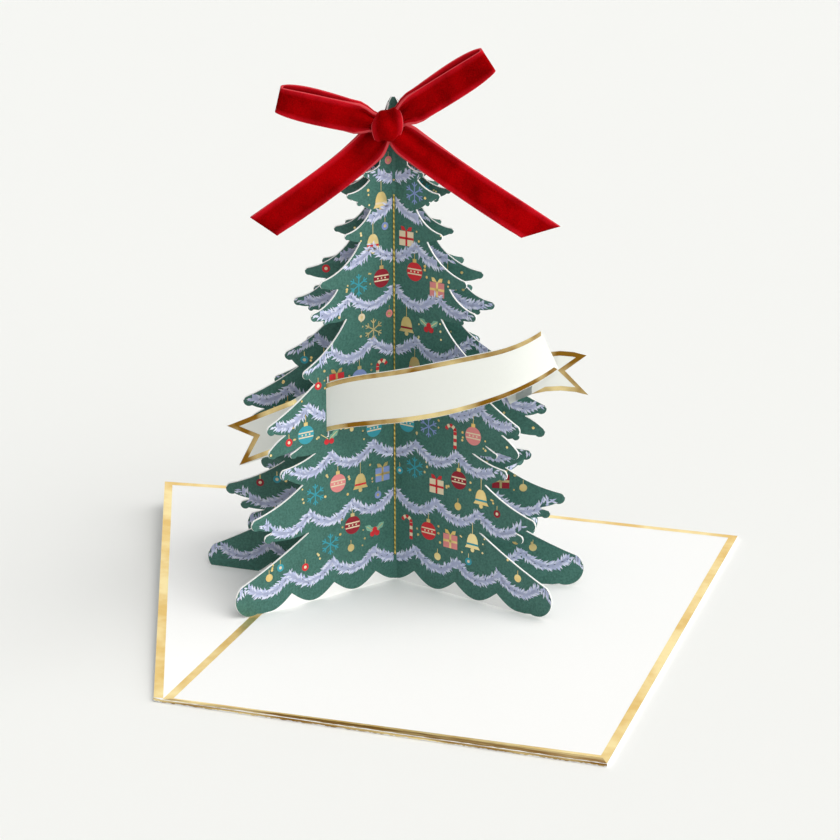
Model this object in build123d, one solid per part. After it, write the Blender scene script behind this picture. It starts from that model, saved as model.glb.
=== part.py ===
from build123d import *
import math
import os

# A pop-up greeting card: a folded white base, a stitched three-sheet paper tree, a banner and a bow.
# Millimetres, +Z up. The origin lies on the underside of the base, below the tree's spine.
# -Y is the front that the tree's open fold faces.

os.makedirs("parts", exist_ok=True)

# Base: a floor leaf of A5 card, and a wing folded up a little along its left edge
floor_width = 148.0
floor_depth = 210.0
base_card = 1.0
floor_turn = 18.44
wing_edge_share = 0.911
wing_lift = 6.8
wing_near_width = 3.0
spine_from_fold = 36.5
spine_from_near_edge = 125.75

# Tree: three equal sheets, each folded down its middle and sewn to the others there
tree_height = 178.2
tree_reach = 69.4
leaf_card = 0.5
sheet_gap = 0.05
fold_land = 1.6
# Left and right half of each sheet, turned from straight ahead
front_leaf_angles = (53.2, 53.0)
middle_leaf_angles = (94.1, 83.2)
back_leaf_angles = (124.8, 128.3)

# Outline of half a sheet, from the top down: reach as a share of tree_reach, height of tree_height
crown_shares = [(0.0, 1.000), (0.022, 0.986), (0.034, 0.956), (0.057, 0.912), (0.076, 0.870)]
# Branch tips: reach, height, tip radius of tree_height, droop in degrees, bow of the top edge, notch below
branch_shares = [
    (0.175, 0.852, 0.0058, 25, 0.10, 0.140, 0.843),
    (0.277, 0.814, 0.0058, 25, 0.10, 0.229, 0.805),
    (0.211, 0.795, 0.0058, 55, 0.00, 0.133, 0.784),
    (0.293, 0.735, 0.0062, 15, 0.12, 0.201, 0.723),
    (0.445, 0.648, 0.0078, 12, 0.11, 0.340, 0.636),
    (0.504, 0.586, 0.0086, 12, 0.10, 0.431, 0.578),
    (0.424, 0.569, 0.0058, 60, 0.00, 0.289, 0.573),
    (0.555, 0.471, 0.0101, 25, 0.07, 0.488, 0.453),
    (0.773, 0.371, 0.0109, 35, 0.03, 0.669, 0.362),
    (0.764, 0.321, 0.0109, 45, -0.04, 0.571, 0.333),
    (0.631, 0.310, 0.0074, 60, 0.03, 0.490, 0.311),
    (0.701, 0.275, 0.0113, 25, 0.05, 0.569, 0.251),
    (0.879, 0.184, 0.0125, 25, 0.05, 0.729, 0.167),
    (0.799, 0.148, 0.0097, 45, -0.04, 0.538, 0.148),
]
underside_bow_share = -0.05
skirt_top_bow_share = 0.02
skirt_shares = [(0.955, 0.067), (0.985, 0.046), (0.860, 0.004), (0.80, 0.0)]

# Sewing thread: holes down the spine, the topmost one joined to the rest behind the sheets only
thread_diameter = 0.5
thread_seat = 0.05
thread_pull_share = 0.8
stitch_hole = 0.7
stitch_pitch = 10.9
stitch_low_share = 0.0575
stitch_high_share = 0.806
lone_stitch_share = 0.8366

# Banner: a strip of card that passes through a slit in the front sheet, and a separate tail
banner_card = 0.4
slit_clearance = 0.25
slit_run = 3.6
slit_reach_share = 0.425
slit_shares = (0.340, 0.463)
banner_lean_angle = 28.0
banner_radius_share = 1.4286
banner_end_radius_share = 0.5102
banner_shares = {"tail_end": -0.94, "end_bend": 0.526, "band_end": 0.86}
band_top_shares = [
    (-0.330, 0.452), (0.004, 0.491), (0.351, 0.522), (0.548, 0.538), (0.736, 0.565),
]
band_bottom_shares = [
    (0.831, 0.479), (0.538, 0.435), (0.353, 0.413), (0.004, 0.383), (-0.353, 0.348),
]
left_tail_shares = [(-0.603, 0.290), (-0.815, 0.246), (-0.732, 0.313), (-0.879, 0.327), (-0.504, 0.408)]
right_tail_plan_shares = [(0.808, -0.2376), (1.02, -0.2216)]
right_tail_land_shares = (0.56, 0.62)
right_tail_shares = [
    (0.576, 0.402), (0.596, 0.385), (0.710, 0.416), (0.803, 0.436), (0.991, 0.421),
    (0.867, 0.473), (0.977, 0.504), (0.799, 0.513), (0.670, 0.476), (0.576, 0.419),
]
glue_gap = 0.05

# Bow: velvet ribbon wrapped round the crown and tied in front of it
ribbon_width = 10.0
ribbon_pile = 1.2
wrap_inner_radius = 4.8
wrap_height = 8.0
wrap_low_share = 0.916
knot_width = 10.5
knot_depth = 7.0
knot_height = 11.6
knot_round = 3.0
knot_offset = -2.0
knot_centre_share = 0.952
loop_thickness = 3.4
strap_neck_width = 6.5
strap_neck_length = 16.0
# Left and right strap: its length, its direction turned up from +X and the slant of its cut end
loop_lengths = (38.1, 40.7)
loop_angles = (166.5, 33.0)
tail_lengths = (55.7, 64.8)
tail_angles = (219.3, -35.0)
tail_cut_angles = (-16.0, 41.0)

cut_overrun = 40.0


def span_point(start, end, bow_share):
    """Middle of a bowed edge: the chord's middle moved across by a share of its length."""
    chord = end - start
    across = Vector(-chord.Y, chord.X)
    return (start + end) * 0.5 - across * bow_share


def bowed_edge(start, end, bow_share):
    """A straight edge, or an arc that leaves the chord by a share of its length."""
    if bow_share == 0:
        return Line(start, end)
    return ThreePointArc(start, span_point(start, end, bow_share), end)


def leaf_point(reach_share, height_share):
    return Vector(reach_share * tree_reach, height_share * tree_height)


def heading(degrees):
    return Vector(math.cos(math.radians(degrees)), math.sin(math.radians(degrees)))


def outline_edges():
    """Edges of half a tree sheet, from the crown down to the outer end of its straight foot."""
    crown = [leaf_point(*pair) for pair in crown_shares]
    edges = [ThreePointArc(*crown[0:3]), ThreePointArc(*crown[2:5])]
    notch = crown[-1]
    for reach, height, radius_share, droop, bow_share, notch_reach, notch_height in branch_shares:
        tip = leaf_point(reach, height)
        radius = radius_share * tree_height
        middle = tip - heading(-droop) * radius
        upper = middle + heading(90 - droop) * radius
        lower = middle + heading(-90 - droop) * radius
        next_notch = leaf_point(notch_reach, notch_height)
        edges.append(bowed_edge(notch, upper, bow_share))
        edges.append(ThreePointArc(upper, tip, lower))
        edges.append(bowed_edge(lower, next_notch, underside_bow_share))
        notch = next_notch
    shoulder, nose, sole, foot = [leaf_point(*pair) for pair in skirt_shares]
    edges.append(bowed_edge(notch, shoulder, skirt_top_bow_share))
    edges.append(ThreePointArc(shoulder, nose, sole))
    edges.append(Line(sole, foot))
    return edges


def waste_face():
    """What is cut away from a plain rectangle of card to leave half a tree."""
    crown = leaf_point(*crown_shares[0])
    foot = leaf_point(*skirt_shares[-1])
    far = tree_reach + cut_overrun
    border = Polyline(
        foot, (foot.X, -cut_overrun), (far, -cut_overrun), (far, tree_height + cut_overrun),
        (0, tree_height + cut_overrun), crown,
    )
    return make_face(outline_edges() + border.edges())


def leaf_direction(side, angle):
    """Level direction of a half sheet: the angle is turned from straight ahead, -Y."""
    return Vector(side * math.sin(math.radians(angle)), -math.cos(math.radians(angle)), 0)


def layer_middle(layer):
    """Where a sheet's fold land lies from front to back, counted from the middle sheet."""
    return layer * (leaf_card + sheet_gap)


def leaf_plane(side, angle, layer):
    """Plane of a half sheet's outer face, hinged on the outer edge of the fold land."""
    direction = leaf_direction(side, angle)
    hinge_back = layer_middle(layer) + math.copysign(leaf_card / 2, 90 - angle)
    hinge = Vector(side * fold_land / 2, hinge_back, base_card)
    return Plane(origin=hinge, x_dir=direction, z_dir=direction.cross(Vector(0, 0, 1)))


def folded_plan(angles, layer):
    """Plan of a folded strip of card with an even thickness."""
    length = tree_reach + cut_overrun / 2
    centre = layer_middle(layer)
    faces = []
    for back in (-leaf_card / 2, leaf_card / 2):
        row = []
        for side, angle in zip((-1, 1), angles):
            lean = math.radians(90 - angle)
            edge = fold_land / 2 + (math.copysign(leaf_card / 2, lean) - back) * -math.tan(lean / 2)
            corner = Vector(side * edge, centre + back)
            row.append([corner, corner + leaf_direction(side, angle) * length])
        (left, left_end), (right, right_end) = row
        faces.append([left_end, left, right, right_end])
    return make_face(Polyline(*faces[0], *reversed(faces[1]), close=True))


def stitch_heights():
    """Heights of the holes above the floor leaf, from the lowest up."""
    low = stitch_low_share * tree_height
    high = stitch_high_share * tree_height
    count = max(2, round((high - low) / stitch_pitch))
    rows = [low + (high - low) * step / count for step in range(count + 1)]
    return rows + [lone_stitch_share * tree_height]


def rod(start, end, diameter):
    """A round bar between two points."""
    axis = end - start
    return Solid.make_cylinder(diameter / 2, axis.length, Plane(origin=start, z_dir=axis))


def tree_sheet(waste, angles, layer):
    """A folded strip cut to the tree's outline on both halves, with the sewing holes."""
    sheet = extrude(Pos(0, 0, base_card) * folded_plan(angles, layer), tree_height)
    for side, angle in zip((-1, 1), angles):
        sheet -= extrude(leaf_plane(side, angle, layer) * waste, leaf_card * 2, both=True)
    for height in stitch_heights():
        level = base_card + height
        sheet -= rod(Vector(0, -cut_overrun, level), Vector(0, cut_overrun, level), stitch_hole)
    return sheet


def floor_directions():
    """Level directions across and along the floor leaf, and its near left corner."""
    across = heading(-floor_turn)
    along = heading(90 - floor_turn)
    return across, along, -(across * spine_from_fold + along * spine_from_near_edge)


def wing_face():
    """Outline of the wing, on its underside: a little of the near edge, then out to its corner."""
    across, along, near_left = floor_directions()
    wing_edge = wing_edge_share * floor_depth
    wing_far = wing_edge * wing_edge_share
    wing_out = wing_edge * math.sqrt(1 - wing_edge_share**2)
    lift = math.radians(wing_lift)
    outward = -across * math.cos(lift) + Vector(0, 0, math.sin(lift))
    plane = Plane(origin=near_left, x_dir=along, z_dir=along.cross(outward))
    outline = Polyline(
        (0, 0), (floor_depth, 0), (wing_far, wing_out), (0, wing_near_width), close=True
    )
    return plane * make_face(outline)


def base_sheet():
    """Floor leaf and wing as one card, folded along the floor leaf's left edge."""
    across, along, near_left = floor_directions()
    plane = Plane(origin=near_left, x_dir=across, z_dir=(0, 0, 1))
    outline = Polyline(
        (0, 0), (floor_width, 0), (floor_width, floor_depth), (0, floor_depth), close=True
    )
    return extrude(plane * make_face(outline), base_card) + extrude(wing_face(), base_card)


def wing_room():
    """The wing and all that lies below it: the tree's left feet are trimmed to stand on it."""
    return extrude(wing_face(), base_card) + extrude(wing_face(), -cut_overrun)


def sewing_thread():
    """Runs in front of and behind the stacked sheets, joined through every hole."""
    outer_sheet = layer_middle(1) + leaf_card / 2
    run = outer_sheet + thread_seat + thread_diameter / 2
    rows = [base_card + height for height in stitch_heights()]
    pull = thread_diameter * thread_pull_share
    thread = rod(Vector(0, run, rows[0] - pull), Vector(0, run, rows[-1] + pull), thread_diameter)
    thread += rod(Vector(0, -run, rows[0] - pull), Vector(0, -run, rows[-2] + pull), thread_diameter)
    for level in rows:
        thread += rod(Vector(0, -run, level), Vector(0, run, level), pull)
    return thread


def front_point(reach_share, height_share):
    """A point of the banner's outline as seen from the front."""
    return Vector(reach_share * tree_reach, base_card + height_share * tree_height)


def front_prism(edges):
    """The outline seen from the front, run through the whole depth of the tree."""
    return extrude(Plane.XZ * make_face(edges), cut_overrun * 2, both=True)


def standing_wall(path, thickness):
    """A vertical wall of card that follows a path drawn in plan."""
    return extrude(trace(path, line_width=thickness), base_card + tree_height)


def slit_centre():
    reach = slit_reach_share * tree_reach
    return leaf_direction(-1, front_leaf_angles[0]) * reach


def banner_path():
    """Plan of the band: a straight tail, a wide arc over the open fold and a tighter end."""
    slit = slit_centre()
    lean = math.radians(banner_lean_angle)
    wide_radius = banner_radius_share * tree_reach
    end_radius = banner_end_radius_share * tree_reach
    run = slit.X - banner_shares["tail_end"] * tree_reach
    tail_end = slit + Vector(-run, run * math.tan(lean))
    wide_centre = slit + Vector(math.sin(lean), math.cos(lean)) * wide_radius
    bend_x = banner_shares["end_bend"] * tree_reach
    bend_turn = math.asin((bend_x - wide_centre.X) / wide_radius)
    bend = wide_centre + Vector(math.sin(bend_turn), -math.cos(bend_turn)) * wide_radius
    wide_middle = wide_centre + Vector(0, -wide_radius)
    end_centre = bend + (wide_centre - bend).normalized() * end_radius
    band_end_x = banner_shares["band_end"] * tree_reach
    end_turn = math.asin((band_end_x - end_centre.X) / end_radius)
    mid_turn = (bend_turn + end_turn) / 2
    end_middle = end_centre + Vector(math.sin(mid_turn), -math.cos(mid_turn)) * end_radius
    end = end_centre + Vector(math.sin(end_turn), -math.cos(end_turn)) * end_radius
    return [
        Line(tail_end, slit),
        ThreePointArc(slit, wide_middle, bend),
        ThreePointArc(bend, end_middle, end),
    ]


def banner_band():
    """Front band and left tail, one strip."""
    top = [front_point(*pair) for pair in band_top_shares]
    bottom = [front_point(*pair) for pair in band_bottom_shares]
    low_root, low_tip, notch, high_tip, high_root = [front_point(*pair) for pair in left_tail_shares]
    edges = [
        Spline(high_tip, high_root, *top),
        Line(top[-1], bottom[0]),
        Spline(*bottom, low_root, low_tip),
        Line(low_tip, notch),
        Line(notch, high_tip),
    ]
    return standing_wall(banner_path(), banner_card) & front_prism(edges)


def banner_slit():
    """The cutter for the slit that the strip passes through."""
    low, high = [base_card + share * tree_height for share in slit_shares]
    centre = slit_centre() + Vector(0, 0, (low + high) / 2)
    cutter = Box(slit_run, banner_card + 2 * slit_clearance, high - low)
    return Pos(centre) * Rot(0, 0, -banner_lean_angle) * cutter


def banner_tail():
    """Right tail: a land glued to the middle sheet, a fold forward and a fold to the right."""
    direction = leaf_direction(1, middle_leaf_angles[1])
    face_shift = direction.cross(Vector(0, 0, 1)) * (leaf_card + glue_gap + banner_card / 2)
    hinge = Vector(fold_land / 2, leaf_card / 2) + face_shift
    start, fold = [hinge + direction * (share * tree_reach) for share in right_tail_land_shares]
    bend, end = [Vector(x, y) * tree_reach for x, y in right_tail_plan_shares]
    path = Polyline(start, fold, bend, end)
    outline = [front_point(*pair) for pair in right_tail_shares]
    return standing_wall(path, banner_card) & front_prism(Polyline(*outline, close=True))


def strap_face(length, slant):
    """Flat outline of a loop or tail along +X: drawn in at the knot, full width beyond."""
    half = ribbon_width / 2
    neck = strap_neck_width / 2
    skew = half * math.tan(math.radians(slant))
    edges = [
        Line((0, -neck), (0, neck)),
        Spline((0, neck), (strap_neck_length, half), tangents=[(1, 0), (1, 0)]),
        Line((strap_neck_length, half), (length + skew, half)),
        Line((length + skew, half), (length - skew, -half)),
        Line((length - skew, -half), (strap_neck_length, -half)),
        Spline((strap_neck_length, -half), (0, -neck), tangents=[(-1, 0), (-1, 0)]),
    ]
    return make_face(edges)


def strap_plane(knot_middle, angle):
    """Upright plane that faces the front, turned so that its X axis runs along the strap."""
    along = heading(angle)
    return Plane(origin=knot_middle, x_dir=(along.X, 0, along.Y), z_dir=(0, -1, 0))


def velvet_bow():
    """Wrap, knot, two loops pressed flat and two tails, all one ribbon."""
    wrap_low = base_card + wrap_low_share * tree_height
    centre_align = (Align.CENTER, Align.CENTER, Align.MIN)
    wrap_outer = wrap_inner_radius + ribbon_pile
    wrap = Pos(0, 0, wrap_low) * (
        Cylinder(wrap_outer, wrap_height, align=centre_align)
        - Cylinder(wrap_inner_radius, wrap_height, align=centre_align)
    )
    knot_middle = Vector(
        knot_offset, -(wrap_inner_radius + knot_depth / 2), base_card + knot_centre_share * tree_height
    )
    knot_box = Box(knot_width, knot_depth, knot_height)
    knot = Pos(knot_middle) * fillet(knot_box.edges(), knot_round)
    bow = wrap + knot
    for angle, length in zip(loop_angles, loop_lengths):
        loop = strap_plane(knot_middle, angle) * strap_face(length, 0)
        bow += extrude(loop, loop_thickness / 2, both=True)
    for angle, length, slant in zip(tail_angles, tail_lengths, tail_cut_angles):
        tail = strap_plane(knot_middle, angle) * strap_face(length, slant)
        bow += extrude(tail, ribbon_pile / 2, both=True)
    return bow


waste = waste_face()
parts = {"card_base": base_sheet()}
sheet_angles = {
    "tree_front_sheet": front_leaf_angles,
    "tree_middle_sheet": middle_leaf_angles,
    "tree_back_sheet": back_leaf_angles,
}
for layer, (name, angles) in enumerate(sheet_angles.items(), start=-1):
    parts[name] = tree_sheet(waste, angles, layer) - wing_room()
parts["tree_front_sheet"] -= banner_slit()
parts["spine_thread"] = sewing_thread()
parts["banner_band"] = banner_band()
parts["banner_tail"] = banner_tail()
parts["velvet_bow"] = velvet_bow()

for name, part in parts.items():
    export_step(part, f"parts/{name}.step")
    print(name, round(part.volume, 1))
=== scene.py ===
# %% [markdown]
# This lesson dresses a pop-up Christmas card: a white folded base, a paper tree of three sheets sewn
# together at their folds, a paper banner and a velvet bow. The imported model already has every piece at
# its real size, so the lesson starts from it and never moves it. It adds print, foil, pile and light,
# and draws two pieces again in their places: the soft bow and the banner's right tail.

# %% Load the card
import random
from math import atan2, cos, dist, hypot, pi, radians, sin, sqrt, tan

import bpy
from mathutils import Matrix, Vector
from mathutils.bvhtree import BVHTree


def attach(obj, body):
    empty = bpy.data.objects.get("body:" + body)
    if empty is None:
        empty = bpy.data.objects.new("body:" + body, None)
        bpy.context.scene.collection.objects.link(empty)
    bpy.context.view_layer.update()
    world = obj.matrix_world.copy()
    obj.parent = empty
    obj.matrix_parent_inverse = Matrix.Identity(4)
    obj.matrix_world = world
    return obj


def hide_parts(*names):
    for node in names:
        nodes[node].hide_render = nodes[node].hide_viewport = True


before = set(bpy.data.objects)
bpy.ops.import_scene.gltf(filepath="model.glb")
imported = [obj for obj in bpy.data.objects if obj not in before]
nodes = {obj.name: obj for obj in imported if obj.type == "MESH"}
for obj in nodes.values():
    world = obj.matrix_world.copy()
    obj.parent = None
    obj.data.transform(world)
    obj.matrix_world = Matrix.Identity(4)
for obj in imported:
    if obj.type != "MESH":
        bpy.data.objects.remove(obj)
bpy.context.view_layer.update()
MM = 0.001
print("pieces:", sorted(nodes))

# %% [markdown]
# The camera comes first, because every later choice is judged through it. A lens close to 97 mm on a
# 36 mm sensor, some 0.8 m from the card and a little above it, gives the calm perspective of a product
# picture. The base's corners were used to find the place, so no shift is needed.

# %% Camera
CAMERA_PLACE = Vector((9.161, -781.21, 306.926)) * MM
CAMERA_DIP = 17.403
LENS_MM = 97.27
SENSOR_MM = 36.0

scene = bpy.context.scene
camera_data = bpy.data.cameras.new("product_camera")
camera_data.lens = LENS_MM
camera_data.sensor_width = SENSOR_MM
camera = bpy.data.objects.new("product_camera", camera_data)
camera.location = CAMERA_PLACE
camera.rotation_euler = (radians(90 - CAMERA_DIP), 0, 0)
scene.collection.objects.link(camera)
scene.camera = camera
print("camera at", [round(c, 3) for c in camera.location])

# %% [markdown]
# A card is lit like any small product: one broad soft lamp from the side to shape the leaves, a softer
# one overhead to keep the shadows on the base pale, and a bright room. A sun lamp with a very wide angle
# behaves as a softbox that lights the whole table evenly. Together they bring a level white surface to
# about its own colour, and not over it.

# %% Lamps
LAMP_COLOUR = (1.0, 0.99, 0.975)
# each lamp's strength, its width in degrees and where it shines from
LAMPS = {
    "soft_key": (2.7, 90, (0.80, -0.30, 0.52)),
    "soft_top": (1.0, 75, (0.1, -0.15, 1.0)),
}
scene.view_settings.view_transform = "Standard"

for name, (strength, degrees, source) in LAMPS.items():
    lamp_data = bpy.data.lights.new(name, "SUN")
    lamp_data.energy = strength
    lamp_data.angle = radians(degrees)
    lamp_data.color = LAMP_COLOUR
    lamp = bpy.data.objects.new(name, lamp_data)
    lamp.rotation_euler = Vector(source).to_track_quat("Z", "Y").to_euler()
    scene.collection.objects.link(lamp)
    print(name, "strength:", strength)

# %% [markdown]
# The room is the world's shader. Foil mirrors what is round it, so the room shows itself at full white
# to the camera and to reflections, but sheds much less light on paper. Light Path tells the rays apart.

# %% Bright room
ROOM_COLOUR = (0.97, 0.985, 1.0, 1)
ROOM_STRENGTH = 0.27
ROOM_SHOWN = 1.0

world = bpy.data.worlds.new("bright_room")
world.use_nodes = True
room = world.node_tree
background = room.nodes["Background"]
background.inputs["Color"].default_value = ROOM_COLOUR
light_path = room.nodes.new("ShaderNodeLightPath")
shown = light_path.outputs["Is Camera Ray"]
for ray in ("Is Glossy Ray", "Is Transmission Ray"):
    either = room.nodes.new("ShaderNodeMath")
    either.operation = "MAXIMUM"
    room.links.new(shown, either.inputs[0])
    room.links.new(light_path.outputs[ray], either.inputs[1])
    shown = either.outputs[0]
level = room.nodes.new("ShaderNodeMapRange")
level.inputs["To Min"].default_value = ROOM_STRENGTH
level.inputs["To Max"].default_value = ROOM_SHOWN
room.links.new(shown, level.inputs["Value"])
room.links.new(level.outputs["Result"], background.inputs["Strength"])
scene.world = world
print("room light:", ROOM_STRENGTH, "shown as:", ROOM_SHOWN)

# %% [markdown]
# The card stands on a pale matt table that fills the picture. One large quad does for it, sunk a tenth
# of a millimetre so that it never shares a plane with the card's underside.

# %% Table
TABLE_COLOUR = (0.875, 0.88, 0.855, 1)
TABLE_HALF = 6.0
TABLE_SINK = 0.0001


def make_object(name, points, faces, materials, face_materials=None, smooth=False):
    """A mesh object from plain lists, with one material index per face."""
    mesh = bpy.data.meshes.new(name)
    mesh.from_pydata([tuple(p) for p in points], [], faces)
    for material in materials:
        mesh.materials.append(material)
    if face_materials:
        mesh.polygons.foreach_set("material_index", face_materials)
    mesh.polygons.foreach_set("use_smooth", [smooth] * len(faces))
    mesh.update()
    piece = bpy.data.objects.new(name, mesh)
    scene.collection.objects.link(piece)
    return piece


table_paint = bpy.data.materials.new("pale_table")
table_paint.use_nodes = True
table_shader = table_paint.node_tree.nodes["Principled BSDF"]
table_shader.inputs["Base Color"].default_value = TABLE_COLOUR
table_shader.inputs["Roughness"].default_value = 0.9
ways = ((-1, -1), (1, -1), (1, 1), (-1, 1))
table_corners = [(x * TABLE_HALF, y * TABLE_HALF, -TABLE_SINK) for x, y in ways]
table = make_object("table", table_corners, [(0, 1, 2, 3)], [table_paint])
print("table width m:", 2 * TABLE_HALF)

# %% [markdown]
# Most finishes here are paper. Real card is never one flat colour: its fibres mottle the tone a little
# and give the surface a fine tooth. Two noise textures in object space do both, so no unwrapping is
# needed and the grain keeps its real size. A thin helper that adds nodes and links them comes first.

# %% Node helper
MIX_SOCKETS = (0, 6, 7)  # a mix node's share and its two colours
MIXED_COLOUR = 2


def srgb(red, green, blue):
    """A colour in 0 to 255 steps as the linear values that shaders use."""
    steps = [c / 255 for c in (red, green, blue)]
    return tuple(c / 12.92 if c <= 0.04045 else ((c + 0.055) / 1.055) ** 2.4 for c in steps) + (1,)


class Nodes:
    """A material under construction. An underscore in an input's name stands for a space."""

    def __init__(self, name):
        self.material = bpy.data.materials.new(name)
        self.material.use_nodes = True
        self.tree = self.material.node_tree
        self.shader = self.tree.nodes["Principled BSDF"]

    def put(self, socket, value):
        """Links another socket, or sets a plain value."""
        if isinstance(value, bpy.types.NodeSocket):
            self.tree.links.new(value, socket)
        else:
            socket.default_value = value

    def fill(self, node, **inputs):
        for name, value in inputs.items():
            self.put(node.inputs[name.replace("_", " ")], value)

    def surface(self, **inputs):
        self.fill(self.shader, **inputs)

    def add(self, kind, settings=None, **inputs):
        node = self.tree.nodes.new(kind)
        for name, value in (settings or {}).items():
            setattr(node, name, value)
        self.fill(node, **inputs)
        return node

    def maths(self, operation, *values):
        node = self.add("ShaderNodeMath", {"operation": operation})
        for socket, value in zip(node.inputs, values):
            self.put(socket, value)
        return node.outputs[0]

    def blend(self, first, second, share):
        """Two values added by weight; share is the second one's weight."""
        rest = self.maths("MULTIPLY", first, 1 - share)
        return self.maths("ADD", rest, self.maths("MULTIPLY", second, share))

    def stretched(self, value, low, high):
        """Brings the span from low to high to 0 to 1 and cuts off the rest."""
        return self.add("ShaderNodeMapRange", Value=value, From_Min=low, From_Max=high).outputs["Result"]

    def mix(self, share, first, second):
        node = self.add("ShaderNodeMix", {"data_type": "RGBA"})
        for index, value in zip(MIX_SOCKETS, (share, first, second)):
            self.put(node.inputs[index], value)
        return node.outputs[MIXED_COLOUR]

    def noise(self, scale, detail=3.0, grain=None):
        """Noise in object space; grain is a level turn and how far the noise is drawn out along it."""
        place = self.add("ShaderNodeTexCoord").outputs["Object"]
        if grain:
            turn, draw = grain
            place = self.add("ShaderNodeMapping", {"vector_type": "TEXTURE"}, Vector=place,
                             Rotation=(0, 0, turn), Scale=(draw, 1, 1)).outputs[0]
        noise = self.add("ShaderNodeTexNoise", Vector=place, Scale=scale, Detail=detail, Roughness=0.6)
        return noise.outputs["Fac"]

    def bump(self, height, strength, distance):
        node = self.add("ShaderNodeBump", Height=height, Strength=strength, Distance=distance)
        self.surface(Normal=node.outputs[0])


print("half grey is", round(srgb(128, 128, 128)[0], 3), "to a shader")

# %% Paper finish
CARD_WHITE = srgb(251, 251, 249)
CARD_MOTTLE = 0.025


def paper_tooth(paper):
    paper.bump(paper.noise(scale=2600, detail=2.0), strength=0.25, distance=0.00008)


def paper_finish(name, colour, mottle):
    """Paper of a colour that its fibres darken by up to a share."""
    paper = Nodes(name)
    darker = tuple(c * (1 - mottle) for c in colour[:3]) + (1,)
    tone = paper.mix(paper.noise(scale=900, detail=4.0), darker, colour)
    paper.surface(Base_Color=tone, Roughness=0.62, Specular_IOR_Level=0.3)
    paper_tooth(paper)
    return paper.material


white_card = paper_finish("white_card", CARD_WHITE, CARD_MOTTLE)
print("made", white_card.name)

# %% [markdown]
# Gold foil is a metal film pressed onto the card. It mirrors the room, so its tone swings from pale straw
# to brown as the card waves a little. That swing is painted reflection: the metallic shader's colour moves
# between a darker tone and pale straw in patches, while a low bump bends its mirror and a fine noise breaks
# the gloss as hot foil does. The floor's borders face the bright room, so their painted reflection swings
# only from gold to pale; the upright banner's lines and the bent near edge swing far more, down to brown.

# %% Gold foil
FLOOR_TURN = radians(18.44)
FOIL_PALE = srgb(246, 226, 166)
FOIL_GOLD = srgb(228, 192, 112)
FOIL_REFLECTED_BROWN = srgb(136, 96, 28)
PATCH_SPAN = 0.26
SPECK_ROUGHNESS = 0.2


def foil_finish(name, dark, wave, roughness, patch_scale=60.0, dark_from=0.36, grain=None):
    foil = Nodes(name)
    # painted reflection: the foil's colour swings between the darker tone and pale straw in noise patches
    painted_reflection = foil.stretched(foil.noise(patch_scale, grain=grain), dark_from, dark_from + PATCH_SPAN)
    specks = foil.noise(scale=1500, detail=2.0)
    gloss = foil.maths("MULTIPLY_ADD", specks, SPECK_ROUGHNESS, roughness)
    foil.surface(Base_Color=foil.mix(painted_reflection, dark, FOIL_PALE), Metallic=1.0, Roughness=gloss)
    foil.bump(foil.noise(scale=110, detail=2.0), strength=wave, distance=0.0015)
    return foil.material


gold_foil = foil_finish("gold_foil", FOIL_GOLD, wave=0.12, roughness=0.34)
gold_ink = foil_finish("gold_stamped_motif", FOIL_GOLD, wave=0.2, roughness=0.3)
banner_foil = foil_finish("banner_foil", FOIL_REFLECTED_BROWN, wave=0.2, roughness=0.2, patch_scale=45.0,
                          dark_from=0.44)
# on the bent near edge the patches are drawn out into long dark streaks, a painted reflection of the bend
edge_foil = foil_finish("bent_edge_foil", FOIL_REFLECTED_BROWN, wave=0.25, roughness=0.38, patch_scale=420.0,
                        dark_from=0.4, grain=(-FLOOR_TURN, 16.0))
print("made", gold_foil.name, gold_ink.name, banner_foil.name, edge_foil.name)

# %% [markdown]
# The tree is three equal sheets, each folded down its middle, so six leaves fan out from the sewn spine.
# Print has to lie on them, so each leaf gets a small frame of its own.

# %% Where the leaves stand
BASE_CARD = 1.0
LEAF_CARD = 0.5
SHEET_GAP = 0.05
FOLD_LAND = 1.6
TREE_HEIGHT = 178.2
TREE_REACH = 69.4
# a sheet's place in the stack, and how far its left and right leaves stand from the front, in degrees
SHEETS = {
    "tree_front_sheet": (-1, (53.2, 53.0)),
    "tree_middle_sheet": (0, (94.1, 83.2)),
    "tree_back_sheet": (1, (124.8, 128.3)),
}


class Leaf:
    """Half a folded sheet: turns a reach from the spine and a height, in millimetres, into a place."""

    def __init__(self, sheet, side):
        layer, angles = SHEETS[sheet]
        degrees = angles[0] if side < 0 else angles[1]
        turn = radians(degrees)
        self.sheet = sheet
        self.side = side
        self.along = Vector((side * sin(turn), -cos(turn), 0))
        self.front = Vector((-side * cos(turn), -sin(turn), 0))
        opens_forward = degrees < 90
        depth = layer * (LEAF_CARD + SHEET_GAP) + (LEAF_CARD / 2 if opens_forward else -LEAF_CARD / 2)
        self.hinge = Vector((side * FOLD_LAND / 2, depth, BASE_CARD))
        self.front_lift = LEAF_CARD if opens_forward else 0.0

    def place(self, face, reach, height, lift):
        """A point in metres; face is 1 for the front of the leaf and -1 for its back."""
        lift_front = self.front_lift + lift if face > 0 else self.front_lift - LEAF_CARD - lift
        point = self.hinge + self.along * reach + self.front * lift_front
        return (point + Vector((0, 0, height))) * MM


leaves = [Leaf(sheet, side) for sheet in SHEETS for side in (-1, 1)]
print("leaves:", [(leaf.sheet, leaf.side) for leaf in leaves])

# %% [markdown]
# The sheets are printed green over white card, and the white shows on every cut edge and below the
# scalloped hem at the foot. Painting each face by hand would be slow, so the shader asks a simple
# question: does this point face the way its leaf faces? Only the broad sides do, and they get the
# green, which a coarse and a fine noise keep uneven. The hem is a row of half waves away from the spine.

# %% Where the green print lies
HEM_PITCH = 18.4
HEM_FIRST_CUSP = 9.0
HEM_LOW = 0.3
HEM_RISE = 4.7
HEM_LAST = 56.0
FACE_MATCH = 0.7


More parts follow.
